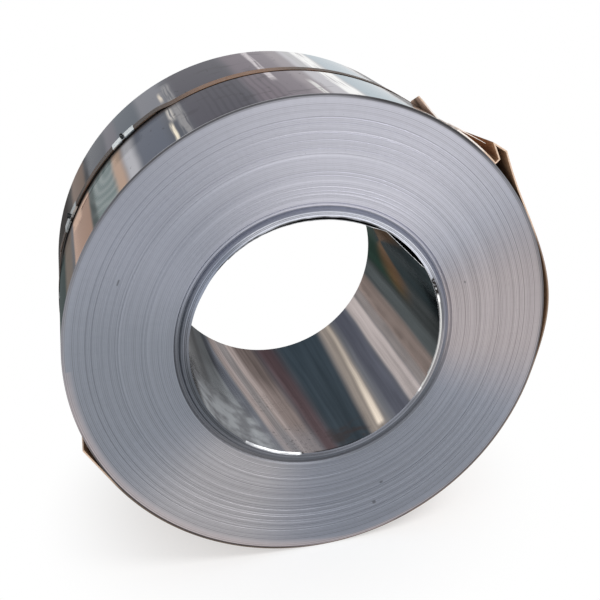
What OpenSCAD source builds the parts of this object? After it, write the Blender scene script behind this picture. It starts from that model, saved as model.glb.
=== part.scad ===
// Steel strip coil standing on its rim, with one steel strap, the strap's two crimped seals and
// a cardboard wrap round its bottom and right side. The bore lies along Y, the origin is the
// middle of the bore, and angles run in the plane of the ends from +X towards +Z. Sizes in mm.

/* [Coil] */
// Width of the strip, which is the coil's length along its bore
strip_w = 500; // [400:5:800]
// Diameter of the bore
bore_d = 508; // [400:1:620]
// Outside diameter of the coil
coil_d = 970; // [850:5:1400]
// Radial width of the first turns, from the bore to the sunken turns
first_turns_w = 15; // [5:1:40]
// Setback by which the first turns fall away from the bore
first_turns_fall = 3; // [0.5:0.5:5]
// Radial width of the sunken turns
sunken_w = 13; // [10:1:40]
// Setback of the sunken turns behind the outermost turn
sunken_depth = 8; // [7:0.5:15]
// Setback of the rings behind the outermost turn
face_setback = 3.5; // [1:0.5:5]
// Radial width of a group of turns that shows as one ring on the ends
ring_w = 9; // [5:0.5:30]
// Largest further setback of a ring
ring_setback = 0.8; // [0.2:0.1:1.5]
// Radial width of the outer turns, which rise to the outermost turn in a dish
dish_w = 21; // [8:1:60]
// Radial width of the flush turns along the rim
edge_w = 4; // [2:0.5:20]

/* [Strap] */
// Width of the strap
strap_w = 32; // [16:1:51]
// Thickness of the strap
strap_t = 0.9; // [0.5:0.1:1.3]
// Height by which the strap stands off the coil at its lap
lap_stand = 4; // [2:0.5:8]
// Distance of the strap's middle behind the coil's middle
strap_back = 12; // [-60:1:60]
// Angle of the strap's inner end
strap_start = 122; // [112:1:124]
// Angle of the strap's outer end
strap_end = 163; // [161:1:170]

/* [Seals] */
// Angle of the upper seal's middle
seal_upper_angle = 131.5; // [128:0.5:138]
// Angle of the lower seal's middle
seal_lower_angle = 154; // [146:0.5:156]
// Length of a seal along the strap
seal_l = 57; // [40:1:60]
// Sheet thickness of a seal
seal_t = 1; // [0.6:0.1:1.5]
// Width of each lip that a seal folds under the strap
seal_lip_w = 7; // [4:1:7]
// Depth of a crimp notch from the seal's edge
notch_depth = 9; // [5:1:10]
// Length of a crimp notch at the seal's edge
notch_l = 10; // [8:1:14]
// Length of a crimp notch at its foot
notch_foot_l = 6; // [4:0.5:8]
// Height of the tab that a crimp notch turns up
tab_h = 6; // [3:0.5:10]

/* [Cardboard] */
// Thickness of the board
board_t = 3; // [2:0.5:7]
// Width of the board along the coil
board_w = 470; // [350:5:480]
// Setback of the board's front edge from the coil's front end
board_setback = 2; // [0:1:20]
// Angle of the board's lower end
low_end_angle = -160; // [-168:1:-150]
// Length of the straight flap at the lower end
low_flap_l = 96; // [20:1:150]
// Angle at which the board bulges furthest off the coil
bulge_angle = 3; // [-15:1:10]
// Height of the bulge
bulge_h = 9; // [0:0.5:15]
// Angle over which the bulge rises, below its highest place
bulge_reach = 20; // [10:1:40]
// Angle of the upper end at the board's front edge
high_front_angle = 55.5; // [54:0.5:58]
// Angle of the upper end behind the turned-up part
high_rear_angle = 51; // [49:0.5:52]
// Distance over which the upper end runs back to that angle
high_run = 340; // [335:1:440]
// Distance along the upper end from the board's front edge to the start of the turned-up part
ear_start = 130; // [60:1:180]
// Distance along the upper end to the tip of the turned-up part
ear_tip = 203; // [190:1:260]
// Distance along the upper end to the end of the turned-up part
ear_end = 330; // [270:1:335]
// Length of the turned-up part at its tip
ear_l = 44; // [20:1:90]
// Length of the turned-up part at its end
ear_end_l = 12; // [5:1:20]
// Angle by which the part is turned up
ear_angle = 22; // [5:1:40]
// Angle of the pleat's inner fold
pleat_in_angle = 42.7; // [40:0.1:43]
// Height of the pleat's inner fold above the board on the coil
pleat_in_h = 11; // [8:0.5:14]
// Angle of the pleat's middle fold
pleat_mid_angle = 46.3; // [45:0.1:47]
// Height of the pleat's middle fold above the board on the coil
pleat_mid_h = 24; // [19:1:29]
// Angle of the pleat's outer corner
pleat_out_angle = 42.8; // [41:0.1:43]
// Height of the pleat's outer corner above the board on the coil
pleat_out_h = 31; // [29:1:45]
// Angle where the board starts to lift off the coil towards the pleat
pleat_land_angle = 24; // [18:1:30]

/* [Hidden] */

// Clearance between pieces that lie on each other
seat_gap = 0.3;
// Clearance between the strap's two layers, and between strap and seal
layer_gap = 0.1;
// Side clearance of the strap in a seal and in the board's channel
side_gap = 0.8;
// Angle between the points of a bent strap or board
angle_step = 2;
// Angle over which the strap climbs from one level to the next
climb = 5;
// Number of sides that stands for a true circle
round_fn = 180;
// Radial width of each side of the sunken turns
sunken_side_w = 3;
// Number of steps across the dish
dish_steps = 6;
// Power of the curve in which the board lifts off the coil
lift_power = 2.5;
// Number of steps in which the pleat runs out between the board's front and rear edges
pleat_steps = 8;
// Rule of the setbacks: every so many rings one is flush, the others vary by a turning phase
flush_every = 3;
ring_phase = 131;
least_setback = 0.35;

coil_r = coil_d / 2;
bore_r = bore_d / 2;
sunken_r = bore_r + first_turns_w;
face_r = sunken_r + sunken_w;
dish_r = coil_r - edge_w - dish_w;
ring_count = max(1, round((dish_r - face_r) / ring_w));
ring_pitch = (dish_r - face_r) / ring_count;

strap_r = coil_r + seat_gap;
strap_mid_h = -strap_back;
// Rise of the strap's outer layer over its inner one
lap_rise = strap_t + layer_gap;
// Where the strap has come down behind its lap, and where it starts to climb onto it
strap_leave = strap_end + climb;
strap_arrive = strap_start + 360 - climb;

seal_inner_r = strap_r + lap_stand - layer_gap;
seal_inner_h = lap_rise + strap_t + 2 * layer_gap;
seal_w = strap_w + 2 * (side_gap + seal_t);

board_r = coil_r + seat_gap + board_t / 2;
board_front_h = strip_w / 2 - board_setback;
// Where the lower flap leaves the coil
low_leave = low_end_angle + atan(low_flap_l / board_r);

function polar(r, angle) = [r * cos(angle), r * sin(angle)];
function unit(v) = v / norm(v);
function left_of(a, b) = let (d = unit(b - a)) [-d.y, d.x];
function steps(from, to) = ceil(abs(to - from) / angle_step);

// Points on a circle from one angle to another
function arc(r, from, to) = [
    for (i = [0 : steps(from, to)]) polar(r, from + (to - from) * i / steps(from, to))
];

// Offset of a ribbon's edge at one of its points, mitred between the two runs that meet there
function mitre(points, i, half) =
    let (
        last = len(points) - 1,
        before = left_of(points[max(i - 1, 0)], points[max(i, 1)]),
        after = left_of(points[min(i, last - 1)], points[min(i + 1, last)]),
        middle = unit(before + after)
    )
    middle * half / (middle * before);

// Pairs of points to the left and the right of each point of a line, t apart
function sides(points, t) = [
    for (i = [0 : len(points) - 1]) let (m = mitre(points, i, t / 2)) [points[i] + m, points[i] - m]
];

function reversed(points) = [for (i = [len(points) - 1 : -1 : 0]) points[i]];

// Outline that runs up the left side and back down the right one
function outline(pairs) = concat([for (p = pairs) p[0]], [for (p = reversed(pairs)) p[1]]);

// Further setback of ring i
function setback(i) = i % flush_every == 0 ? 0
    : ring_setback * (least_setback + (1 - least_setback) * abs(sin(ring_phase * i)));

// Setback of the turns in the dish at a share of its width
function dish(share) = face_setback * (1 - share * share);

// Setbacks of the turns from the bore outwards, as points of radius and setback
turn_line = concat(
    [
        [bore_r, 0],
        [sunken_r, first_turns_fall],
        [sunken_r + sunken_side_w, sunken_depth],
        [face_r - sunken_side_w, sunken_depth]
    ],
    [
        for (i = [0 : ring_count - 1], side = [0, 1])
            [face_r + ring_pitch * (i + side), face_setback + setback(i)]
    ],
    [for (i = [0 : dish_steps]) [dish_r + dish_w * i / dish_steps, dish(i / dish_steps)]],
    [[coil_r, 0]]
);

// One end of the coil at height h. All turns are as wide as the strip, so a turn that stands
// back on the front end stands out on the rear end by as much.
function end_line(h) = [for (p = turn_line) [p.x, h - p.y]];

// Height of the strap above its seat, along its path from strap_start
function strap_rise(angle) =
    angle <= strap_end ? lap_stand
    : angle <= strap_leave ? lap_stand * (strap_leave - angle) / climb
    : angle <= strap_arrive ? 0
    : (lap_stand + lap_rise) * min(1, (angle - strap_arrive) / climb);

// Middle line of the strap, once round the coil and on over its own start
function strap_line() = [
    for (angle = [strap_start : angle_step : strap_end + 360])
        polar(strap_r + strap_t / 2 + strap_rise(angle), angle)
];

// Height of the bulge at an angle; it ends where the board lifts off towards the pleat
function bulge(angle) =
    let (
        reach = angle < bulge_angle ? bulge_reach : pleat_land_angle - bulge_angle,
        share = min(1, abs(angle - bulge_angle) / reach)
    )
    bulge_h * pow(cos(90 * share), 2);

// Middle line of the board from the tip of its lower flap, round the coil to where it lifts off
round_steps = steps(low_leave, pleat_land_angle);
round_line = concat(
    [polar(board_r, low_leave) + polar(low_flap_l, low_leave - 90)],
    [
        for (i = [0 : round_steps])
            let (angle = low_leave + (pleat_land_angle - low_leave) * i / round_steps)
            polar(board_r + bulge(angle), angle)
    ]
);
land_i = len(round_line) - 1;

// The pleat at the board's front edge, as angles and heights above the board on the coil: the
// panel that lifts off, the two folds, and the stretch that lies on the coil again
lift_steps = steps(pleat_land_angle, pleat_out_angle);
seat_steps = steps(pleat_in_angle, high_front_angle);
pleat_spots = concat(
    [
        for (i = [1 : lift_steps])
            let (share = i / lift_steps)
            [
                pleat_land_angle + (pleat_out_angle - pleat_land_angle) * share,
                pleat_out_h * pow(share, lift_power)
            ]
    ],
    [[pleat_mid_angle, pleat_mid_h], [pleat_in_angle, pleat_in_h]],
    [
        for (i = [0 : seat_steps])
            [pleat_in_angle + (high_front_angle - pleat_in_angle) * i / seat_steps, 0]
    ]
);

// Length of a line of points up to point i
function run(points, i) = i == 0 ? 0 : run(points, i - 1) + norm(points[i] - points[i - 1]);

// Angles of the same spots at the board's rear edge, where the pleat has run out and they lie
// on the coil in the order and the proportions that they have along the board
pleat_run = concat([round_line[land_i]], [for (p = pleat_spots) polar(board_r + p[1], p[0])]);
flat_angles = [
    for (i = [1 : len(pleat_spots)])
        pleat_land_angle + (high_front_angle - pleat_land_angle)
            * run(pleat_run, i) / run(pleat_run, len(pleat_spots))
];

// Middle line of the pleat at a share of the way from the board's front edge to its rear edge
function pleat_line(share) = [
    for (i = [0 : len(pleat_spots) - 1])
        polar(
            board_r + pleat_spots[i][1] * (1 - share),
            pleat_spots[i][0] + (flat_angles[i] - pleat_spots[i][0]) * share
        )
];

function board_sides(share) = sides(concat(round_line, pleat_line(share)), board_t);

// Start of the pleat as a tongue inside the round part of the board, half as thick as the board
tongue = [for (p = board_sides(0)[land_i - 1]) (p + round_line[land_i - 1]) / 2];

// Outline of the pleat at a share of the way back, from that tongue over where the board lifts off
function pleat_outline(share) =
    let (pairs = board_sides(share))
    outline(concat(
        [tongue, board_sides(0)[land_i]],
        [for (i = [land_i + 1 : len(pairs) - 1]) pairs[i]]
    ));

// Turns shapes drawn in the plane of the ends upright, so that their height runs along -Y
module on_the_bore() {
    rotate([90, 0, 0]) children();
}

// Sweeps a section about the bore from one angle to another
module swept(from, to) {
    rotate([0, 0, from]) rotate_extrude(angle = to - from, $fn = round_fn) children();
}

module coil() {
    color("#9ba0ab") on_the_bore() rotate_extrude($fn = round_fn)
        polygon(concat(end_line(strip_w / 2), reversed(end_line(-strip_w / 2))));
}

module strap() {
    color("#6f5b4d") on_the_bore() difference() {
        translate([0, 0, strap_mid_h - strap_w / 2])
            linear_extrude(strap_w) polygon(outline(sides(strap_line(), strap_t)));
        notches(seal_upper_angle);
        notches(seal_lower_angle);
    }
}

// Prisms that cut the two crimp notches of a seal, through its sheet and the strap
module notches(angle) {
    for (side = [-1, 1])
        rotate([0, 0, angle]) translate([coil_r, 0, strap_mid_h + side * seal_w / 2])
            rotate([90, 0, 90]) linear_extrude(seal_inner_h + 4 * seal_t)
                polygon([
                    [-notch_l / 2, side], [notch_l / 2, side],
                    [notch_foot_l / 2, -side * notch_depth], [-notch_foot_l / 2, -side * notch_depth]
                ]);
}

// Section of a seal: a flat sleeve, open below between its lips
module seal_section() {
    difference() {
        square([seal_inner_h + 2 * seal_t, seal_w], center = true);
        square([seal_inner_h, seal_w - 2 * seal_t], center = true);
        translate([-seal_inner_h / 2 - seal_t, 0])
            square([4 * seal_t, seal_w - 2 * (seal_t + seal_lip_w)], center = true);
    }
}

// Tab that a notch turns up at its foot
module tab(side) {
    translate([
        seal_inner_r + seal_inner_h,
        -notch_foot_l / 2,
        strap_mid_h + side * (seal_w / 2 - notch_depth - seal_t / 2) - seal_t / 2
    ])
        cube([seal_t + tab_h, notch_foot_l, seal_t]);
}

module seal(angle) {
    half = seal_l / coil_r * 90 / PI;
    color("#b4bec2") on_the_bore() {
        difference() {
            swept(angle - half, angle + half)
                translate([seal_inner_r + seal_inner_h / 2, strap_mid_h]) seal_section();
            notches(angle);
        }
        rotate([0, 0, angle]) {
            tab(-1);
            tab(1);
        }
    }
}

// Room that the strap presses into the inner face of the board
module strap_channel() {
    channel_w = strap_w + 2 * side_gap;
    translate([0, 0, strap_mid_h - channel_w / 2])
        cylinder(r = strap_r + strap_t + seat_gap, h = channel_w, $fn = round_fn);
}

// Half the run of the slanting upper end across the board, and the angle at its middle
high_half_s = board_r * sin((high_front_angle - high_rear_angle) / 2);
high_mid_angle = (high_front_angle + high_rear_angle) / 2;
high_crease_turn = atan(2 * high_half_s / high_run);

// Sets a shape on the board's upper end, with X outwards, Y up the board and Z towards the front
module at_the_upper_end() {
    rotate([0, 0, high_mid_angle]) translate([0, 0, board_front_h]) children();
}

// Part of the board beyond its slanting upper end
module beyond_the_upper_end() {
    far = board_r / 2;
    at_the_upper_end() translate([board_r - far, 0, 0]) rotate([90, 0, 90])
        linear_extrude(far + pleat_out_h)
            polygon([
                [high_half_s, 0], [-high_half_s, -high_run], [-high_half_s, -board_w - far],
                [far, -board_w - far], [far, far], [high_half_s, far]
            ]);
}

// Part of the board that is turned up along the slanting upper end, cut clear of the coil
module ear() {
    crease_r = board_r * cos((high_front_angle - high_rear_angle) / 2);
    difference() {
        at_the_upper_end() translate([crease_r, high_half_s, 0])
            rotate([-high_crease_turn, 0, 0]) rotate([0, 0, -ear_angle])
                translate([-board_t / 2, 0, 0]) rotate([90, 0, 90]) linear_extrude(board_t)
                    polygon([
                        [0, -ear_start], [ear_l, -ear_tip], [ear_end_l, -ear_end], [0, -ear_end]
                    ]);
        cylinder(r = coil_r + seat_gap / 2, h = 2 * strip_w, center = true, $fn = round_fn);
    }
}

// Solid through like outlines that lie one below the other, each a ribbon's two sides
module loft(outlines, heights) {
    n = len(outlines[0]);
    last = len(outlines) - 1;
    polyhedron(
        points = [for (k = [0 : last], p = outlines[k]) [p.x, p.y, heights[k]]],
        faces = concat(
            [for (i = [0 : n / 2 - 2]) [i, i + 1, n - 2 - i, n - 1 - i]],
            [for (i = [0 : n / 2 - 2]) [for (c = [n - 1 - i, n - 2 - i, i + 1, i]) last * n + c]],
            [
                for (k = [0 : last - 1], i = [0 : n - 1])
                    let (a = k * n + i, b = k * n + (i + 1) % n)
                    each [[b, a, a + n], [b, a + n, b + n]]
            ]
        )
    );
}

// Pleat that is folded over at the board's front edge and runs out at its rear edge
module pleat() {
    shares = [for (k = [0 : pleat_steps]) k / pleat_steps];
    loft(
        [for (share = shares) pleat_outline(share)],
        [for (share = shares) board_front_h - board_w * share]
    );
}

module cardboard_wrap() {
    color("#a47d5b") on_the_bore() difference() {
        union() {
            translate([0, 0, board_front_h - board_w]) linear_extrude(board_w)
                polygon(outline([for (i = [0 : land_i]) board_sides(0)[i]]));
            difference() {
                pleat();
                beyond_the_upper_end();
            }
            ear();
        }
        strap_channel();
    }
}

coil();
strap();
seal(seal_upper_angle);  // seal_upper
seal(seal_lower_angle);  // seal_lower
cardboard_wrap();
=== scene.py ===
"""Looks of a strapped and wrapped coil of bright steel strip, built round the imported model."""

import math

import bmesh
import bpy
import numpy as np
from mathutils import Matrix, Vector

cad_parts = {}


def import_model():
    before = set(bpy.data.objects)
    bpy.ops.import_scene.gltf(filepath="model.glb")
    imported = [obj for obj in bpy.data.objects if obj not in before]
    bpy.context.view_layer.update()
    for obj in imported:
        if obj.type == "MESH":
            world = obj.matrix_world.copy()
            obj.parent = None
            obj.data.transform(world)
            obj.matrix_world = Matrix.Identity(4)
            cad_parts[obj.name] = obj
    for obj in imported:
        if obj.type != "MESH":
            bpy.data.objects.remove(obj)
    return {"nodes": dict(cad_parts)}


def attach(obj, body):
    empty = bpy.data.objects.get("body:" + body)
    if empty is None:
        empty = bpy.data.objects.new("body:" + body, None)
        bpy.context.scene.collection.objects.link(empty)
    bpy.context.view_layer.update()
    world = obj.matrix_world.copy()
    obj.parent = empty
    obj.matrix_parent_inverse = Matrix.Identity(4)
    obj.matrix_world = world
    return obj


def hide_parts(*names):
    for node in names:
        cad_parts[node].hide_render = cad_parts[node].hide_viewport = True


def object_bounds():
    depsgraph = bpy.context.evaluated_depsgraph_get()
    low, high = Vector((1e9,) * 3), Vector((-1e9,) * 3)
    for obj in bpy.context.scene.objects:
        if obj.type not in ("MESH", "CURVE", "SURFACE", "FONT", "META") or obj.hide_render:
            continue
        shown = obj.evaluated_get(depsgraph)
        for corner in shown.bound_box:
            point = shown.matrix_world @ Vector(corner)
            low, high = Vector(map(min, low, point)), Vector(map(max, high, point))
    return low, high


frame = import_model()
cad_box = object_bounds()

MM = 0.001
TURN, HALF_TURN = 360.0, 180.0
WHITE = (1.0, 1.0, 1.0)

# Sizes of the solids in mm, as in the part's source
STRIP_W = 500.0
BORE_R = 254.0
COIL_R = 485.0
FIRST_W, FIRST_FALL = 15.0, 3.0
SUNKEN_W, SUNKEN_DEPTH, SUNKEN_SIDE = 13.0, 8.0, 3.0
FACE_SETBACK, RING_SETBACK = 3.5, 0.8
DISH_W, EDGE_W = 21.0, 4.0
SEAT_GAP, LAYER_GAP = 0.3, 0.1

STRAP_W, STRAP_T, STRAP_BACK = 32.0, 0.9, 12.0
STRAP_FRONT = STRAP_BACK - STRAP_W / 2
STRAP_START, STRAP_END, CLIMB, LAP_STAND = 122.0, 163.0, 5.0, 4.0
UPPER_SEAL, LOWER_SEAL = 131.5, 154.0

BOARD_T, BOARD_W, BOARD_SETBACK = 3.0, 470.0, 2.0
BOARD_R = COIL_R + SEAT_GAP + BOARD_T / 2
LOW_END, LOW_FLAP = -160.0, 96.0
BULGE_ANGLE, BULGE_H, BULGE_REACH = 3.0, 9.0, 20.0
HIGH_FRONT, HIGH_REAR, HIGH_RUN = 55.5, 51.0, 340.0
EAR_START, EAR_TIP, EAR_END = 130.0, 203.0, 330.0
EAR_L, EAR_END_L, EAR_ANGLE = 44.0, 12.0, 22.0
PLEAT_IN, PLEAT_IN_H = 42.7, 11.0
PLEAT_MID, PLEAT_MID_H = 46.3, 24.0
PLEAT_OUT, PLEAT_OUT_H = 42.8, 31.0
PLEAT_LAND, LIFT_POWER = 24.0, 2.5

FRONT_Y = -STRIP_W / 2
REAR_Y = STRIP_W / 2
rng = np.random.default_rng(7)


def polar(r, degrees):
    a = np.radians(degrees)
    return np.stack(np.broadcast_arrays(r * np.cos(a), r * np.sin(a)), axis=-1)


def smooth(x):
    x = np.clip(x, 0.0, 1.0)
    return x * x * (3 - 2 * x)


def hump(x, centre, half):
    """1 at centre, falling smoothly to 0 at half a width to either side."""
    return smooth(1 - np.abs(x - centre) / half)


def add_object(name, data):
    thing = bpy.data.objects.new(name, data)
    bpy.context.scene.collection.objects.link(thing)
    return thing


def mesh_piece(name, points_mm, faces, materials, face_slots=None, sharp=30.0):
    mesh = bpy.data.meshes.new(name)
    mesh.from_pydata((np.asarray(points_mm) * MM).tolist(), [], faces)
    for material in materials:
        mesh.materials.append(material)
    if face_slots is not None:
        mesh.polygons.foreach_set("material_index", face_slots)
    mesh.polygons.foreach_set("use_smooth", [True] * len(mesh.polygons))
    work = bmesh.new()
    work.from_mesh(mesh)
    bmesh.ops.remove_doubles(work, verts=work.verts, dist=0.002 * MM)
    bmesh.ops.dissolve_degenerate(work, edges=work.edges, dist=0.001 * MM)
    bmesh.ops.recalc_face_normals(work, faces=work.faces)
    work.to_mesh(mesh)
    work.free()
    mesh.set_sharp_from_angle(angle=math.radians(sharp))
    piece = add_object(name, mesh)
    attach(piece, "root")
    return piece


def grid_faces(rows, columns, wrap=False):
    """Quads between the points of a grid, row after row; wrap closes each row on itself."""
    faces = []
    for i in range(rows - 1):
        for j in range(columns if wrap else columns - 1):
            k = (j + 1) % columns
            a, b = i * columns, (i + 1) * columns
            faces.append((a + j, a + k, b + k, b + j))
    return faces


# Looks. Angles are in degrees and lengths in mm. A band or a lobe holds an angle, half a width and
# a softness, and in a table a colour. A mark is a lobe, a share and the colour laid on by it.

# Ends of the coil
STEEL_GREY = (0.30, 0.315, 0.368)
# The lobes round the end are painted light and shade: lighter at the top and the lower left, darker
# at the lower right and the left
END_LOBES = (
    (74, 12, 56, (0.565, 0.565, 0.63)),
    (-124, 9, 30, (0.42, 0.41, 0.43)),
    (-62, 16, 38, (0.25, 0.268, 0.312)),
    (2, 9, 24, (0.395, 0.358, 0.366)),
    (-172, 12, 34, (0.25, 0.27, 0.312)),
)
FINE_SHARE, WIDE_SHARE, HATCH_SHARE = 0.6, 0.08, 0.10
SPECK_SHARE, SPECK_TONE = 0.4, (0.14, 0.14, 0.15)
# The dark line beside each turn: its middle, half its width and its softness are shares of a turn
TURNS_PER_MM, TURN_SWAY, TURN_LINE = 0.30, 1.8, (0.5, 0.06, 0.16)
FAINT_LOBE, FAINT_SHARE = (125, 40, 45), 0.5
# Darker lines between some turns, by their distance from the bore and their strength
RING_LINES = (
    (5.6, 0.45), (8, 0.45), (20.6, 0.35), (32, 0.12), (41.5, 0.08), (57, 0.13), (69, 0.08),
    (88, 0.14), (101, 0.07), (119, 0.10), (136, 0.14), (147.5, 0.08), (163, 0.12),
    (176, 0.08), (189, 0.16), (201, 0.12), (212, 0.18),
)
RING_WAVER, RING_LINE = 2, (0.3, 0.9)
# Turns along the rim, with painted shade at the top and painted light at the lower left: their tone
# reaches further in at the lower left
OUTER_GREY, OUTER_SHARE = (0.29, 0.28, 0.30), 0.7
OUTER_LOBES = (
    (80, 60, 40, (0.12, 0.12, 0.13)),
    (-118, 44, 30, (0.52, 0.45, 0.45)),
)
OUTER_CHANGE, OUTER_REACHES, OUTER_FULL = (-100, -80), (22, 9), 2
# Painted shade along the rim's edge, as lobes with a reach and a share
EDGE_SHADE = (
    (112, 20, 22, 3.6, 0.6),
    (63, 11, 15, 10, 0.85),
    (-128, 24, 20, 4, 0.9),
    (-30, 34, 14, 3.8, 0.6),
)
EDGE_SHADE_FULL, EDGE_SHADE_TONE = 2.4, (0.03, 0.027, 0.026)
# Rings beside the sunken turns and in them, by distance from the bore, half a width and softness
RAISED_RING = (24.5, 2.5, 2.5)
# The ring beside the sunken turns gets painted light above and painted shade below
RAISED_LIT, RAISED_LIT_SHARE, RAISED_GAIN = (75, 70, 40), 0.4, (1.35, 1.35, 1.37)
RAISED_SHADE = (-105, 70, 40), 0.75, (0.11, 0.115, 0.13)
SUNKEN_RING, SUNKEN_SHARE = (15.5, 3.8, 1.6), 0.85
# The sunken turns are painted dark as shade in their hollow, lighter at the top
GROOVE_SHADE = (0.10, 0.11, 0.13)
GROOVE_LOBES = ((70, 60, 40, (0.17, 0.185, 0.24)),)
# Places on the first turns, with the two distances from the bore between which they fade
FIRST_EDGE, FIRST_SHARE, LIP_GREY = (10.5, 11.5), 0.9, (0.19, 0.20, 0.23)
# The first turns are painted light at the top and painted shade at the lower left
LIP_LOBES = (
    (136, 14, 22, (0.28, 0.31, 0.38)),
    (74, 41, 18, (0.66, 0.68, 0.75)),
    (-152, 14, 24, (0.085, 0.095, 0.11)),
    (-20, 10, 16, (0.36, 0.35, 0.37)),
    (-62, 12, 18, (0.26, 0.275, 0.32)),
)
HUNG_EDGE, HUNG = (1.6, 2.6), ((96, 42, 8), 1, (0.035, 0.035, 0.033))
# A painted highlight along the first turn's edge on the right
FIRST_HIGHLIGHT_EDGE, FIRST_HIGHLIGHT = (3.4, 4.6), ((-8, 22, 10), 0.85, (0.68, 0.68, 0.66))
# Torn places painted black as shade
TORN_SHADE_EDGE, TORN_SHADE = (5, 7), ((20, 3.4, 1.4), 1, (0.02, 0.018, 0.016))
# Bright spots of painted highlight
FIRST_GLINT_EDGE, GLINT_WHITE = (4.2, 5.6), (0.95, 0.95, 0.95)
FIRST_GLINTS = ((13.4, 1.2, 1, GLINT_WHITE), (-33.5, 0.8, 0.7, GLINT_WHITE))
# Small dark marks, by their angle, radius, half their angle and half their width
END_MARKS = (
    (156, 404.7, 0.6, 0.8),
    (-69.6, 379.5, 0.25, 2),
    (-73.9, 420.5, 0.25, 3),
    (16, 318.3, 0.2, 1),
)
MARK_SOFT_ANGLE, MARK_SOFT, MARK_SHARE, MARK_TONE = 0.5, 1.5, 0.6, (0.07, 0.072, 0.08)

# Rim. Its bands are painted reflections, and also say on which side of the strap they lie.
RIM_GREYS, RIM_SWAY = ((0.14, 0.15, 0.175), (0.22, 0.225, 0.25)), 1
RIM_BANDS = (
    (62, 19, 3, (0.55, 0.53, 0.54), "all"),
    (73, 4, 3, (0.46, 0.54, 0.59), "all"),
    (84, 1.5, 2.5, (0.58, 0.57, 0.60), "all"),
    (88.5, 1.5, 2, (0.38, 0.345, 0.37), "all"),
    (93, 2, 2.5, (0.28, 0.25, 0.28), "all"),
    (98.5, 2, 3, (0.245, 0.215, 0.245), "all"),
    (109, 5.5, 4, (0.14, 0.137, 0.16), "all"),
    (122.5, 2.5, 2.5, (0.26, 0.265, 0.295), "rear"),
    (125.5, 2.6, 3, (0.165, 0.18, 0.22), "front"),
    (131.8, 0.5, 2.6, (0.50, 0.50, 0.53), "front"),
    (130.5, 3, 2.5, (0.145, 0.165, 0.195), "rear"),
    (135.6, 0.7, 2.2, (0.50, 0.37, 0.29), "front"),
    (136, 1.5, 2, (0.19, 0.185, 0.215), "rear"),
    (141.8, 3.6, 2.4, (0.25, 0.295, 0.30), "front"),
    (142.5, 4, 2, (0.095, 0.105, 0.13), "rear"),
    (150.5, 3.7, 1.2, (0.84, 0.60, 0.48), "front"),
    (151, 3, 2, (0.48, 0.35, 0.28), "rear"),
    (160, 2.5, 2.5, (0.25, 0.21, 0.18), "front"),
    (159, 4, 2.5, (0.06, 0.052, 0.05), "rear"),
    (174, 11, 3, (0.06, 0.085, 0.085), "front"),
    (174, 11, 3, (0.045, 0.04, 0.036), "rear"),
)
# Thin streaks of painted reflection and highlight add the stretch of the width that they cover
RIM_STREAKS = (
    (80.6, 1.1, 1.4, (0.95, 0.95, 0.94), -260, 260),
    (83.6, 0.5, 0.6, (0.55, 0.55, 0.56), 0, 260),
    (87.3, 0.4, 0.5, (0.75, 0.74, 0.73), -260, -120),
    (94.6, 0.4, 0.7, (0.66, 0.62, 0.64), -80, 260),
    (117.4, 0.5, 1, (0.34, 0.335, 0.345), -260, 190),
    (119.5, 0.2, 0.7, (0.74, 0.68, 0.60), 70, 140),
    (119.3, 0.25, 0.9, (0.62, 0.59, 0.56), -110, 0),
    (120.1, 0.15, 0.6, (0.90, 0.83, 0.70), -260, -130),
)
STREAK_FADE = 30
BARS, BAR_PITCH = ((103, 6, 5), 0.22, (0.07, 0.07, 0.08)), 4.2
# The marbled patch, a painted reflection: arcs about a point, squeezed along the bore and bent by a
# noise
SWIRL_ANGLE, SWIRL_Y, SWIRLED = 138.5, -20, (141.5, 3.8, 1.5)
SWIRL_SQUEEZE, SWIRL_BEND, SWIRL_PITCH = 0.12, 7, 0.33
SWIRL_DARK = SWIRLED, 0.4, (0.13, 0.185, 0.18)
SWIRL_LIGHT = SWIRLED, 0.2, (0.45, 0.47, 0.45)
# A scratch that runs askew, so many mm to a degree
SCRATCH_ANGLE, SCRATCH_SLOPE, SCRATCH_LINE = 98, 4.5, (-244, 0.5, 1.5)
SCRATCH = (91, 6.5, 1.5), 0.5, (0.06, 0.06, 0.065)
STROKES = (104, 12, 6), 0.35, (0.09, 0.085, 0.095)
# A painted highlight along the rim's front edge
GLINT_LINE = (FRONT_Y + 1.4, 0.8, 1.2)
GLINT = (108, 16, 8), 0.6, (0.62, 0.62, 0.65)
SCUFF_SHARE, SCUFF_TONE = 0.5, (0.06, 0.06, 0.06)
# Painted shade under the strap's lap and in front of it, and a matt film that reaches further
LAP_LOBE, STRAP_SHADE_SHARE, STRAP_SHADE_TONE = (141, 22, 7), 0.8, (0.075, 0.06, 0.056)
LAP_BACK, STRAP_SHADE_REACH = (STRAP_BACK + 20, STRAP_BACK + 12), 24
FILM_REACH, FILM_SHARE = 40, 0.97
SEAL_FILM, SEAL_FILM_REACH = (3, 2), (96, 64)
# Where the dark ground behind the coil shows in the rim and the bore, they are matt instead
RIM_DULL, RIM_DULL_SHARE = (176, 17, 8), 0.88
BORE_DULL, BORE_DULL_SHARE = (38, 17, 12), 0.95
EDGE_WHITE = 0.36

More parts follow.
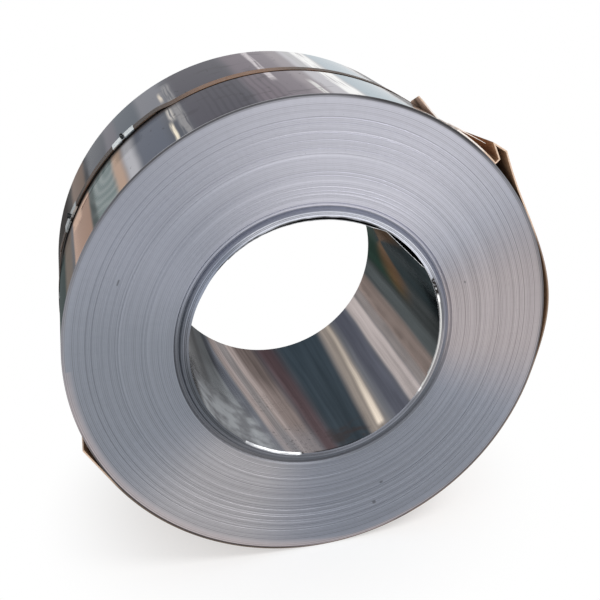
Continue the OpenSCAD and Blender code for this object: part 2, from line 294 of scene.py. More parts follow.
# Bore. Its bands and bright streak are painted reflections.
BORE_GREY, BORE_SWAY = (0.15, 0.155, 0.17), 1.5
BORE_BANDS = (
    (-150, 8, 8, (0.13, 0.135, 0.145)),
    (-133, 3, 6, (0.27, 0.285, 0.30)),
    (-123.5, 3, 3, (0.16, 0.17, 0.195)),
    (-111.5, 6, 3.5, (0.28, 0.26, 0.26)),
    (-101, 3.5, 5, (0.24, 0.20, 0.19)),
    (-116, 0.6, 2.8, (0.39, 0.34, 0.33)),
    (-106.5, 0.6, 2.8, (0.39, 0.335, 0.32)),
    (-89, 2, 6.5, (0.10, 0.074, 0.08)),
    (-73.5, 7.5, 8, (0.048, 0.062, 0.075)),
    (-58.5, 2, 4.5, (0.28, 0.245, 0.22)),
    (-46, 2.5, 5, (0.10, 0.105, 0.13)),
    (-36, 3, 2.5, (0.46, 0.41, 0.40)),
    (-29, 1.5, 2, (0.27, 0.245, 0.24)),
    (-21.5, 3.5, 3, (0.43, 0.35, 0.32)),
    (-12, 2.5, 5, (0.17, 0.19, 0.195)),
    (-2, 5, 6, (0.115, 0.125, 0.127)),
    (22, 15, 8, (0.055, 0.072, 0.078)),
)
BORE_STREAK, BORE_STREAK_TONE = (-56.2, 0.1, 2.3), (0.95, 0.83, 0.70)
FAN_ANGLE, FAN_PER_MM, FAN_BAND = -70, 0.001, (-96, 31, 15)
# The arch, a painted reflection: its top, its bends to either side and its thickness
ARCH_ANGLE, ARCH_Y, ARCH_BENDS = 11, 140, (0.95, 0.5)
ARCH_SLOPE, ARCH_SQUEEZE, ARCH_LINE = 1.5, 0.45, (0, 5, 18)
ARCH_BAND, ARCH_FRONT = (ARCH_ANGLE + 3, 18, 6), (-110, 50)
ARCH_SHARE, ARCH_TONE, ARCH_GREEN = 0.8, (0.25, 0.155, 0.09), (0.04, 0.08, 0.06)
DARK_REARS, DARK_REAR_SHARE = ((-137, 12, 5), (-99, 4, 3)), 0.3
HAZE = (-114, 17, 6), 0.45, (0.25, 0.25, 0.275)
GRIME = (-104, 12, 8), 0.5, (0.03, 0.028, 0.028)
SMEARS = (-78, 11, 8), 0.65, (0.055, 0.042, 0.04)
# Painted shade along the foot of the bore at its front
FOOT_SHADE = (-86, 13, 4), 0.8, (0.03, 0.03, 0.032)
# Clouds of painted reflection at the lower left of the bore, near its front
CLOUD_BAND, CLOUD_SHARE = (-141, 13, 9), 0.85
CLOUD_TONES = ((0.20, 0.205, 0.22), (0.42, 0.44, 0.46))

# Lip and back of the first turn
LIP_TONES, LIP_FOOT, LIP_FOOT_SHARE = ((0.34, 0.35, 0.37), (0.86, 0.87, 0.89)), (1.8, 3.6), 0.75
LIP_FOOT_TONE = (0.17, 0.175, 0.19)
# The back of the loose turn is painted near black as shade
GAP_SHADE_TONES = ((0.012, 0.012, 0.013), (0.035, 0.034, 0.034))

# Strap and seals
STRAP_TONES = ((0.022, 0.016, 0.014), (0.06, 0.04, 0.03))
STRAP_TOP = (103, 5, 15), 0.75, (0.25, 0.135, 0.08)
STRAP_EDGE, STRAP_EDGE_SHARE, STRAP_EDGE_TONE = (14.5, 16), 0.3, (0.18, 0.12, 0.08)
RUST_SHARE, RUST_TONE = 0.4, (0.16, 0.065, 0.03)
ZINC_TONES, ZINC_WORN = ((0.38, 0.43, 0.45), (0.58, 0.63, 0.65)), (0.16, 0.18, 0.19)
SEAL_UNDERSIDE, SEAL_LOW = (COIL_R + 6.2, COIL_R + 4.6), (146, 138)
SEAL_WAIST, SEAL_WAIST_W = (0.3, 0.5), (12, 4)
SEAL_SHADE_SHARE, SEAL_SHADE, SPANGLES = 0.92, (0.02, 0.022, 0.024), 220

# Board: tones of its faces, its cut edge and its turned-up corner, each with a share of stains. The
# lighter tones of the turned-up corner, also on the liner's outside, are painted light.
KRAFT = ((0.30, 0.165, 0.09), (0.44, 0.26, 0.15), 0.5)
KRAFT_EDGE = ((0.62, 0.44, 0.32), (0.80, 0.62, 0.49), 0.2)
KRAFT_EAR_LIT = ((0.56, 0.38, 0.28), (0.74, 0.55, 0.43), 0.15)
STAIN_DEPTH, FLUTE_PITCH, FLUTE_H = 0.45, 7.2, 0.2
# The cut edge has a painted highlight where it stands out at the top right, is darker along the
# right, and has painted shade under the coil
EDGE_STRETCHES = (
    (-25, 43, 6, (0.11, 0.068, 0.048)),
    (-109, 36, 6, (0.05, 0.038, 0.032)),
    (-68.5, 1.6, 1, (0.02, 0.014, 0.012)),
    (51.5, 3.5, 2, (0.95, 0.91, 0.87)),
)

# Materials


def empty_tree(owner):
    owner.use_nodes = True
    owner.node_tree.nodes.clear()
    return owner.node_tree


def put(value, socket):
    if isinstance(value, bpy.types.NodeSocket):
        socket.id_data.links.new(value, socket)
    else:
        socket.default_value = value


def add_node(tree, kind, *values, **settings):
    """A new node with its settings, its first inputs set or linked to the values."""
    node = tree.nodes.new("ShaderNode" + kind)
    for name, setting in settings.items():
        setattr(node, name, setting)
    for value, socket in zip(values, node.inputs):
        put(value, socket)
    return node


class Shader:
    """A material with one Principled shader, and short ways to make its nodes."""

    def __init__(self, name, **fixed):
        self.material = bpy.data.materials.new(name)
        self.tree = empty_tree(self.material)
        self.shader = self.add("BsdfPrincipled")
        self.add("OutputMaterial", self.shader.outputs["BSDF"])
        for socket, value in fixed.items():
            self.shader.inputs[socket.replace("_", " ")].default_value = value
        self.place = self.add("TexCoord").outputs["Object"]
        metres = self.add("SeparateXYZ", self.place)
        self.x, self.y, self.z = (self.times(length, 1 / MM) for length in metres.outputs)
        squares = self.math("MULTIPLY_ADD", self.x, self.x, self.times(self.z, self.z))
        self.r = self.math("SQRT", squares)

    def add(self, kind, *values, **settings):
        return add_node(self.tree, kind, *values, **settings)

    def math(self, operation, *values):
        return self.add("Math", *values, operation=operation).outputs[0]

    def times(self, *values):
        product = values[0]
        for value in values[1:]:
            product = self.math("MULTIPLY", product, value)
        return product

    def less(self, share, depth=1.0):
        """1 where the share is 0, down to 1 - depth where it is 1."""
        return self.math("MULTIPLY_ADD", share, -depth, 1.0)

    def either(self, one, other):
        return self.math("MAXIMUM", one, other)

    def vector(self, x, y, z):
        return self.add("CombineXYZ", x, y, z).outputs[0]

    def scaled(self, across, along):
        """Place in mm, times one factor across the bore and another along it."""
        pairs = ((self.x, across), (self.y, along), (self.z, across))
        return self.vector(*(self.times(*pair) for pair in pairs))

    def unrolled(self, angle, per_degree, per_mm, seed=0.0):
        """Coordinates on the unrolled strip, by the angle and the place along the bore."""
        return self.vector(self.times(angle, per_degree), self.times(self.y, per_mm), seed)

    def round_place(self, per_mm, around, seed=0.0):
        """Coordinates that change with the radius and round the ring, without a seam."""
        return self.vector(
            self.times(self.r, per_mm),
            self.times(self.math("DIVIDE", self.x, self.r), around),
            self.math("MULTIPLY_ADD", self.math("DIVIDE", self.z, self.r), around, seed),
        )

    def noise(self, place=None, scale=1.0, detail=2.0, roughness=0.5):
        node = self.add("TexNoise", self.place if place is None else place)
        node.inputs["Scale"].default_value = scale
        node.inputs["Detail"].default_value = detail
        node.inputs["Roughness"].default_value = roughness
        return node.outputs["Fac"]

    def ease(self, value, low, high, to=(0.0, 1.0)):
        """Smooth step of a value from low to high, with a result between the two ends of to."""
        values = (value, low, high, *to)
        return self.add("MapRange", *values, interpolation_type="SMOOTHSTEP").outputs[0]

    def band(self, value, centre, half, soft):
        """1 within half of the centre, falling to 0 over the softness outside it."""
        away = self.math("ABSOLUTE", self.math("SUBTRACT", value, centre))
        return self.ease(away, half, half + soft, to=(1.0, 0.0))

    def lobe(self, angle, centre, half, soft):
        """A band of angles that runs across the turn from 180 to -180 degrees."""
        away = self.math("WRAP", self.math("SUBTRACT", angle, centre), HALF_TURN, -HALF_TURN)
        return self.band(away, 0.0, half, soft)

    def lobes(self, angle, base, lobes):
        for *lobe, tone in lobes:
            base = self.paint(base, tone, self.lobe(angle, *lobe))
        return base

    def ring(self, distance, half, soft):
        """A ring of the end at a distance from the bore."""
        return self.band(self.r, BORE_R + distance, half, soft)

    def within(self, full, none):
        """1 up to the first distance from the bore, falling to 0 at the second."""
        return self.ease(self.r, BORE_R + none, BORE_R + full)

    def at_seals(self, angle, half, soft):
        return self.either(*(self.band(angle, a, half, soft) for a in (UPPER_SEAL, LOWER_SEAL)))

    def angle(self, start=0.0):
        """Angle in the plane of the ends in degrees, from the start round to it again."""
        raw = self.math("DEGREES", self.math("ARCTAN2", self.z, self.x))
        past = self.math("WRAP", self.math("SUBTRACT", raw, start), TURN, 0.0)
        return self.math("ADD", past, start)

    def swaying(self, angle, degrees, across, along):
        """The angle, moved to and fro by a wide noise."""
        sway = self.noise(self.scaled(across, along), detail=1.0)
        return self.math("MULTIPLY_ADD", self.math("SUBTRACT", sway, 0.5), degrees, angle)

    def mix(self, factor, low, high, blend="MIX"):
        node = self.add("Mix", factor, data_type="RGBA", blend_type=blend)
        for value, socket in zip((low, high), node.inputs[6:8]):
            put((*value, 1.0) if isinstance(value, tuple) else value, socket)
        return node.outputs[2]

    def paint(self, base, tone, *shares):
        """The base with a tone laid on, by the product of the shares."""
        return self.mix(self.times(*shares), base, tone)

    def lay(self, base, mark, angle, *masks):
        """The base with a mark laid on, where the masks leave it."""
        lobe, share, tone = mark
        return self.paint(base, tone, self.lobe(angle, *lobe), *masks, share)

    def shaded(self, base, factor):
        """The base times a factor."""
        grey = self.add("CombineColor", factor, factor, factor)
        return self.mix(1.0, base, grey.outputs[0], "MULTIPLY")

    def bump(self, height, distance, strength=1.0):
        node = self.add("Bump")
        node.inputs["Strength"].default_value = strength
        node.inputs["Distance"].default_value = distance
        put(height, node.inputs["Height"])
        put(node.outputs[0], self.shader.inputs["Normal"])

    def colour(self, value):
        put(value, self.shader.inputs["Base Color"])

    def roughness(self, value):
        put(value, self.shader.inputs["Roughness"])

    def bright_metal(self, base, dull):
        """Metal whose tone stays much the same at flat angles, and matt where it is dull."""
        self.colour(base)
        put(self.mix(EDGE_WHITE, base, WHITE), self.shader.inputs["Specular Tint"])
        put(self.less(dull), self.shader.inputs["Metallic"])


def end_steel():
    """Slit edges of the turns: satin grey, in fine rings of uneven tone, with painted light and
    shade round the end.
    """
    s = Shader("strip_steel_ends", Metallic=0.8, Anisotropic=0.6)
    angle = s.angle(-HALF_TURN)
    front = s.ease(s.y, 10.0, -10.0)
    fine = s.noise(s.round_place(per_mm=0.75, around=0.04), roughness=0.6)
    wide = s.noise(s.round_place(per_mm=0.10, around=0.06, seed=7.0))
    hatch = s.noise(s.round_place(per_mm=0.03, around=60.0, seed=2.0))
    tone = s.math("MULTIPLY_ADD", wide, WIDE_SHARE, s.times(hatch, HATCH_SHARE))
    tone = s.ease(s.math("MULTIPLY_ADD", fine, FINE_SHARE, tone), 0.24, 0.56, to=(0.96, 1.16))
    # The line beside each turn has its own strength, and all are fainter in the light from above
    faint = s.less(s.lobe(angle, *FAINT_LOBE), FAINT_SHARE)
    sway = s.noise(s.round_place(per_mm=0.03, around=0.05, seed=5.0))
    turn = s.math("MULTIPLY_ADD", sway, TURN_SWAY, s.times(s.r, TURNS_PER_MM))
    number = s.vector(s.times(s.math("FLOOR", turn), 0.37), 0.0, 9.0)
    strength = s.ease(s.noise(number), 0.36, 0.62, to=(0.05, 0.38))
    lines = s.times(s.band(s.math("FRACT", turn), *TURN_LINE), strength, faint)
    tone = s.times(tone, s.less(lines))
    # Painted light and shade round the end
    base = s.lobes(angle, STEEL_GREY, END_LOBES)
    specks = s.ease(s.noise(scale=330.0, detail=1.0), 0.75, 0.80)
    base = s.paint(base, SPECK_TONE, specks, SPECK_SHARE)
    # The turns along the rim, the sunken turns and the first turns, which fall away from the bore
    # Painted shade at the top and painted light at the lower left on the turns along the rim
    inmost = s.ease(angle, *OUTER_CHANGE, to=[COIL_R - reach for reach in OUTER_REACHES])
    outer = s.ease(s.r, inmost, COIL_R - OUTER_FULL)
    base = s.paint(base, s.lobes(angle, OUTER_GREY, OUTER_LOBES), outer, OUTER_SHARE)
    # Painted shade along the rim's edge
    for *lobe, reach, share in EDGE_SHADE:
        shaded_rim = s.ease(s.r, COIL_R - reach, COIL_R - EDGE_SHADE_FULL)
        base = s.paint(base, EDGE_SHADE_TONE, s.lobe(angle, *lobe), shaded_rim, share)
    # Painted light above and painted shade below on the ring beside the sunken turns
    raised = s.ring(*RAISED_RING)
    lit = s.mix(1.0, base, RAISED_GAIN, "MULTIPLY")
    base = s.paint(base, lit, raised, s.lobe(angle, *RAISED_LIT), RAISED_LIT_SHARE)
    base = s.lay(base, RAISED_SHADE, angle, raised)
    # Painted shade in the sunken turns' hollow, lighter at the top
    grooved = s.lobes(angle, GROOVE_SHADE, GROOVE_LOBES)
    base = s.paint(base, grooved, s.ring(*SUNKEN_RING), SUNKEN_SHARE)
    # Painted light and shade on the first turns
    lip = s.lobes(angle, LIP_GREY, LIP_LOBES)
    base = s.paint(base, lip, s.within(*FIRST_EDGE), FIRST_SHARE)
    waver = s.noise(s.round_place(per_mm=0.0, around=2.0, seed=11.0))
    waver = s.math("MULTIPLY_ADD", waver, RING_WAVER, s.r)
    for distance, share in RING_LINES:
        line = s.band(waver, BORE_R + RING_WAVER / 2 + distance, *RING_LINE)
        line = s.times(line, faint) if distance > FIRST_W + SUNKEN_W else line
        tone = s.times(tone, s.less(line, share))
    # Shade where the first turn hangs from the top of the bore
    uneven = s.noise(s.round_place(per_mm=0.0, around=6.0, seed=17.0))
    uneven = s.ease(uneven, 0.38, 0.58, to=(0.3, 0.9))
    base = s.lay(base, HUNG, angle, s.within(*HUNG_EDGE), uneven)
    base = s.shaded(base, tone)
    # The first turn's edge on the right: a painted highlight, with torn places painted black as
    # shade and bright spots of painted highlight
    base = s.lay(base, FIRST_HIGHLIGHT, angle, s.within(*FIRST_HIGHLIGHT_EDGE))
    holes = s.ease(s.noise(scale=140.0, detail=3.0), 0.40, 0.48)
    base = s.lay(base, TORN_SHADE, angle, s.within(*TORN_SHADE_EDGE), holes)
    base = s.paint(base, s.lobes(angle, base, FIRST_GLINTS), s.within(*FIRST_GLINT_EDGE))
    for centre, radius, half, reach in END_MARKS:
        mark = s.lobe(angle, centre, half, MARK_SOFT_ANGLE)
        mark = s.times(mark, s.band(s.r, radius, reach, MARK_SOFT))
        base = s.paint(base, MARK_TONE, mark, front, MARK_SHARE)
    s.colour(base)
    s.roughness(s.ease(fine, 0.3, 0.7, to=(0.44, 0.56)))
    tangent = s.add("Tangent", direction_type="RADIAL", axis="Y")
    put(tangent.outputs[0], s.shader.inputs["Tangent"])
    s.bump(fine, 0.3 * MM, strength=0.4)
    return s.material


def rim_steel():
    """Bright outer turn: a mirror, with long painted reflections that run along the bore."""
    s = Shader("strip_steel_rim", Specular_IOR_Level=0.0)
    angle = s.swaying(s.angle(), RIM_SWAY, across=0.004, along=0.008)
    rear = s.ease(s.y, -10.0, 30.0)
    front = s.less(rear)
    shares = {"all": 1.0, "front": front, "rear": rear}
    slow = s.noise(s.scaled(across=0.012, along=0.003))
    base = s.mix(s.ease(slow, 0.3, 0.7), *RIM_GREYS)
    for *band, tone, share in RIM_BANDS:
        base = s.paint(base, tone, s.band(angle, *band), shares[share])
    # Fine upright bars, and the marbled patch of painted reflection in front of the strap
    bars = s.ease(s.math("SINE", s.times(angle, BAR_PITCH)), -0.2, 0.9)
    base = s.lay(base, BARS, angle, bars, front)
    swirl = s.noise(s.scaled(across=0.02, along=0.012), detail=0.0)
    up = s.times(s.math("SUBTRACT", angle, SWIRL_ANGLE), math.radians(COIL_R))
    along = s.math("SUBTRACT", s.y, SWIRL_Y)
    squares = s.math("MULTIPLY_ADD", up, up, s.times(along, along, SWIRL_SQUEEZE))
    rounds = s.times(s.math("SQRT", squares), SWIRL_PITCH)
    arcs = s.math("SINE", s.math("MULTIPLY_ADD", swirl, SWIRL_BEND, rounds))
    base = s.lay(base, SWIRL_DARK, angle, s.ease(arcs, -0.3, 1.0), front)
    base = s.lay(base, SWIRL_LIGHT, angle, s.ease(arcs, -0.4, -1.0), front)
    threads = s.noise(s.unrolled(angle, per_degree=1.6, per_mm=0.006))
    broken = s.ease(threads, 0.34, 0.52, to=(0.15, 1.0))
    for *band, tone, y_low, y_high in RIM_STREAKS:
        start = s.ease(s.y, y_low - STREAK_FADE, y_low + STREAK_FADE)
        end = s.ease(s.y, y_high + STREAK_FADE, y_high - STREAK_FADE)
        base = s.paint(base, tone, s.band(angle, *band), s.times(start, end), broken)
    # A scratch and dark strokes along the turn, a painted highlight on the front edge, and scuffs
    line = s.math("MULTIPLY_ADD", s.math("SUBTRACT", angle, SCRATCH_ANGLE), SCRATCH_SLOPE, s.y)
    base = s.lay(base, SCRATCH, angle, s.band(line, *SCRATCH_LINE))
    strokes = s.noise(s.unrolled(angle, per_degree=0.16, per_mm=0.035, seed=3.0), detail=3.0)
    base = s.lay(base, STROKES, angle, s.ease(strokes, 0.55, 0.70))
    base = s.lay(base, GLINT, angle, s.band(s.y, *GLINT_LINE))
    scuffs = s.ease(s.noise(s.scaled(across=0.10, along=0.03), detail=4.0), 0.66, 0.78)
    base = s.paint(base, SCUFF_TONE, scuffs, SCUFF_SHARE)
    # Painted shade and a matt film at the strap's lap, where the strap stands off
    lap = s.times(s.ease(s.y, *LAP_BACK), s.lobe(angle, *LAP_LOBE))
    strap_shade = s.times(s.ease(s.y, STRAP_FRONT - STRAP_SHADE_REACH, STRAP_FRONT), lap)
    base = s.paint(base, STRAP_SHADE_TONE, strap_shade, STRAP_SHADE_SHARE)
    film = s.times(s.ease(s.y, STRAP_FRONT - FILM_REACH, STRAP_FRONT - STRAP_SHADE_REACH), lap)
    seal_reach = s.ease(s.y, *(STRAP_FRONT - reach for reach in SEAL_FILM_REACH))
    film = s.either(film, s.times(s.at_seals(angle, *SEAL_FILM), seal_reach, lap))
    dull = s.times(s.band(angle, *RIM_DULL), RIM_DULL_SHARE)
    s.bright_metal(base, s.either(dull, s.times(film, FILM_SHARE)))
    s.roughness(s.ease(s.noise(scale=14.0, detail=4.0), 0.3, 0.8, to=(0.05, 0.13)))
    s.bump(s.noise(scale=7.0, detail=1.0), 1.5 * MM, strength=0.08)
    return s.material


def bore_steel():
    """Bright inside of the first turn, with long painted reflections along the bore."""
    s = Shader("strip_steel_bore", Specular_IOR_Level=0.0)
    angle = s.swaying(s.angle(-HALF_TURN), BORE_SWAY, across=0.01, along=0.005)
    # The bands on the floor of the bore fan out towards the rear
    spread = s.math("DIVIDE", 1.0, s.math("MULTIPLY_ADD", s.y, FAN_PER_MM, 1.0))
    off = s.times(s.math("SUBTRACT", angle, FAN_ANGLE), s.band(angle, *FAN_BAND))
    angle = s.math("MULTIPLY_ADD", off, s.math("SUBTRACT", spread, 1.0), angle)
    base = BORE_GREY
    for *band, tone in BORE_BANDS:
        base = s.paint(base, tone, s.band(angle, *band))
    fading = s.ease(s.y, -210.0, 120.0, to=(1.0, 0.3))
    start = s.ease(s.y, -246.0, -226.0)
    base = s.paint(base, BORE_STREAK_TONE, s.band(angle, *BORE_STREAK), fading, start)
    # A painted reflection of an arch at the upper right, with a painted green cast behind it
    off = s.math("SUBTRACT", angle, ARCH_ANGLE)
    bend = s.times(off, off, s.ease(off, -4.0, 4.0, to=ARCH_BENDS))
    height = s.math("ADD", s.math("SUBTRACT", s.y, ARCH_Y), bend)
    slope = s.times(off, ARCH_SLOPE)
    steep = s.math("SQRT", s.math("MULTIPLY_ADD", slope, slope, 1.0))
    away = s.math("DIVIDE", height, s.times(steep, ARCH_SQUEEZE))
    reach = s.times(s.band(angle, *ARCH_BAND), s.ease(s.y, *ARCH_FRONT))
    base = s.paint(base, ARCH_GREEN, s.ease(height, 0.0, 60.0), reach, ARCH_SHARE)
    base = s.paint(base, ARCH_TONE, s.band(away, *ARCH_LINE), reach, ARCH_SHARE)
    # Wide streaks, fine ones mainly on the left, and sides that darken to the rear
    streaks = s.noise(s.unrolled(angle, per_degree=0.22, per_mm=0.0015), detail=3.0, roughness=0.6)
    fine = s.noise(s.unrolled(angle, per_degree=0.9, per_mm=0.004, seed=4.0))
    fine = s.ease(fine, 0.3, 0.7, to=(-0.14, 0.14))
    fine = s.times(fine, s.ease(angle, -80.0, -106.0, to=(0.3, 1.0)))
    tone = s.times(s.ease(streaks, 0.25, 0.75, to=(0.80, 1.19)), s.math("ADD", fine, 1.0))
    sides = s.either(*(s.band(angle, *band) for band in DARK_REARS))
    tone = s.times(tone, s.less(s.times(sides, s.ease(s.y, -20.0, 110.0)), DARK_REAR_SHARE))
    base = s.shaded(base, tone)
    # Near the front: haze, fine grime, smears and a dark line of painted shade along the foot
    base = s.lay(base, HAZE, angle, s.ease(s.y, -110.0, -210.0))
    grime = s.ease(s.noise(scale=150.0, detail=4.0, roughness=0.6), 0.54, 0.68)
    grime = s.times(grime, s.ease(s.noise(scale=22.0), 0.44, 0.60))
    base = s.lay(base, GRIME, angle, grime, s.ease(s.y, 80.0, -80.0))
    smears = s.ease(s.noise(s.scaled(across=0.022, along=0.03), detail=4.0), 0.46, 0.66)
    base = s.lay(base, SMEARS, angle, smears, s.ease(s.y, -120.0, -215.0))
    base = s.lay(base, FOOT_SHADE, angle, s.ease(s.y, FRONT_Y + 6.0, FRONT_Y + 2.0))
    # Clouds of painted reflection at the left, where the dark side would show in the metal
    clouded = s.times(s.band(angle, *CLOUD_BAND), s.ease(s.y, 0.0, -160.0), CLOUD_SHARE)
    clouds = s.ease(s.noise(scale=26.0, detail=4.0), 0.35, 0.65)
    base = s.paint(base, s.mix(clouds, *CLOUD_TONES), clouded)
    dull = s.times(s.band(angle, *BORE_DULL), BORE_DULL_SHARE)
    s.bright_metal(base, s.either(dull, clouded))
    s.roughness(s.ease(s.noise(scale=16.0, detail=4.0), 0.3, 0.8, to=(0.12, 0.24)))
    s.bump(s.noise(scale=11.0, detail=1.0), 1.5 * MM, strength=0.1)
    return s.material


def lip_steel():
    """Edges of the first turn that have been bent and rubbed bright."""
    s = Shader("strip_steel_lip", Metallic=0.6)
    rubs = s.noise(s.scaled(across=0.06, along=0.4), detail=4.0)
    base = s.mix(s.ease(rubs, 0.35, 0.65), *LIP_TONES)
    foot = s.ease(s.r, *(BORE_R + distance for distance in LIP_FOOT), to=(0.0, LIP_FOOT_SHARE))
    s.colour(s.paint(base, LIP_FOOT_TONE, foot))
    s.roughness(s.ease(rubs, 0.3, 0.7, to=(0.5, 0.32)))
    s.bump(rubs, 0.2 * MM, strength=0.3)
    return s.material


def gap_shade_steel():
    """Back of the loose turn, painted near black as the shade it lies in."""
    s = Shader("strip_steel_back_shade", Metallic=0.2, Specular_IOR_Level=0.1)
    film = s.noise(s.scaled(across=0.05, along=0.02), detail=3.0)
    s.colour(s.mix(film, *GAP_SHADE_TONES))
    s.roughness(s.ease(film, 0.3, 0.7, to=(0.5, 0.7)))
    return s.material


def strap_steel():
    """Browned strapping, rubbed brighter along its edges, with rust."""
    s = Shader("strap_steel", Metallic=0.0, Specular_IOR_Level=0.05)
    grain = s.noise(s.scaled(across=0.03, along=0.6), detail=4.0)
    across = s.math("ABSOLUTE", s.math("SUBTRACT", s.y, STRAP_BACK))
    base = s.mix(s.ease(grain, 0.3, 0.7), *STRAP_TONES)
    base = s.lay(base, STRAP_TOP, s.angle())
    base = s.paint(base, STRAP_EDGE_TONE, s.ease(across, *STRAP_EDGE), STRAP_EDGE_SHARE)
    rust = s.ease(s.noise(scale=26.0, detail=5.0), 0.55, 0.72)
    s.colour(s.paint(base, RUST_TONE, rust, RUST_SHARE))
    s.roughness(s.ease(grain, 0.3, 0.7, to=(0.32, 0.5)))
    s.bump(grain, 0.3 * MM, strength=0.4)
    return s.material


def seal_zinc():
    """Zinc-coated seal: cool, with a faint spangle and worn places."""
    s = Shader("seal_zinc", Metallic=0.9)
    cells = s.add("TexVoronoi", s.place)
    cells.inputs["Scale"].default_value = SPANGLES
    spangle = s.add("SeparateColor", cells.outputs["Color"])
    wear = s.noise(scale=90.0, detail=4.0)
    base = s.mix(spangle.outputs[0], *ZINC_TONES)
    base = s.paint(base, ZINC_WORN, s.ease(wear, 0.52, 0.72, to=(0.0, 0.6)))
    # Painted black as shade at the waist, where it is crimped, and underneath the upper one
    angle = s.angle()
    low = s.times(s.ease(s.r, *SEAL_UNDERSIDE), s.ease(angle, *SEAL_LOW))
    waist = s.times(s.at_seals(angle, *SEAL_WAIST), s.band(s.y, STRAP_BACK, *SEAL_WAIST_W))
    s.colour(s.paint(base, SEAL_SHADE, s.either(low, waist), SEAL_SHADE_SHARE))
    s.roughness(s.ease(wear, 0.3, 0.7, to=(0.16, 0.34)))
    s.bump(wear, 0.2 * MM, strength=0.4)
    return s.material


def kraft(name, low, high, stained, stretches=()):
    """Kraft board; stretches of its length hold an angle, half a width, a softness and a colour."""
    s = Shader(name, Metallic=0.0, Roughness=0.85, Specular_IOR_Level=0.25)
    fibres = s.noise(s.scaled(across=0.5, along=0.09), detail=5.0)
    flutes = s.math("SINE", s.times(s.angle(), FLUTE_PITCH))
    stains = s.noise(scale=7.0, detail=4.0)
    base = s.mix(s.ease(fibres, 0.25, 0.75), low, high)
    stain = tuple(STAIN_DEPTH * c for c in low)
    base = s.paint(base, stain, s.ease(stains, 0.5, 0.8, to=(0.0, stained)))
    uneven = s.ease(stains, 0.2, 0.6, to=(1.0, 0.75))
    # Stretches of the cut edge: painted highlight, painted shade and a darker tone
    for *lobe, tone in stretches:
        base = s.paint(base, tone, s.lobe(s.angle(-HALF_TURN), *lobe), uneven)
    s.colour(base)
    s.roughness(s.ease(fibres, 0.2, 0.8, to=(0.78, 0.92)))
    s.bump(s.math("MULTIPLY_ADD", flutes, FLUTE_H, fibres), 0.6 * MM, strength=0.5)
    return s.material


# Coil

RING_COUNT, RING_W, RING_INSET = 44, (1.6, 7.0), 0.12
DISH_STEPS, DISH_STEP_H = 10, 0.25
EDGE_ROUND = 0.5
# The first turn's front edge: flared outwards at the bottom and nicked on the right
FLARE_ANGLE, FLARE_HALF, FLARE_DEPTH = -114.0, 14.0, 5.0
FLARE_OUT, FLARE_MARGIN, FLARE_FADE = 4.5, 2.0, 2.5
NICK_ANGLE, NICK_HALF, NICK_DEPTH = -30.5, 2.5, 1.8
# Slots of the materials
END, RIM, BORE, LIP = range(4)
INSIDE, EDGE, OUTSIDE = range(3)


def turn_steps():
    """Points of radius and setback across an end, from the bore to the rim, ring by ring."""
    points = [(BORE_R, 0.0), (BORE_R + 0.6, 0.05)]
    for share in (0.28, 0.52, 0.78):
        r = BORE_R + FIRST_W * share
        points += [(r, FIRST_FALL * share), (r + 0.5, FIRST_FALL * share + 0.7)]
    sunken_r = BORE_R + FIRST_W
    face_r = sunken_r + SUNKEN_W
    dish_r = COIL_R - EDGE_W - DISH_W
    points += [
        (sunken_r, FIRST_FALL),
        (sunken_r + SUNKEN_SIDE, SUNKEN_DEPTH),
        (sunken_r + SUNKEN_W * 0.45, SUNKEN_DEPTH - 0.3),
        (sunken_r + SUNKEN_W * 0.5, SUNKEN_DEPTH),
        (face_r - SUNKEN_SIDE, SUNKEN_DEPTH),
    ]
    widths = rng.uniform(*RING_W, RING_COUNT)
    widths *= (dish_r - face_r) / widths.sum()
    r = face_r
    for width in widths:
        setback = FACE_SETBACK + RING_SETBACK * rng.uniform(0.0, 1.0) ** 2
        points += [(r + RING_INSET, setback), (r + width - RING_INSET, setback)]
        r += width
    for i in range(DISH_STEPS + 1):
        share = i / DISH_STEPS
        step = DISH_STEP_H * (i % 2) * (1 - share)
        points.append((dish_r + DISH_W * share + 0.3, FACE_SETBACK * (1 - share * share) + step))
    points += [(COIL_R - EDGE_ROUND, 0.0), (COIL_R, EDGE_ROUND)]
    return np.array(points)


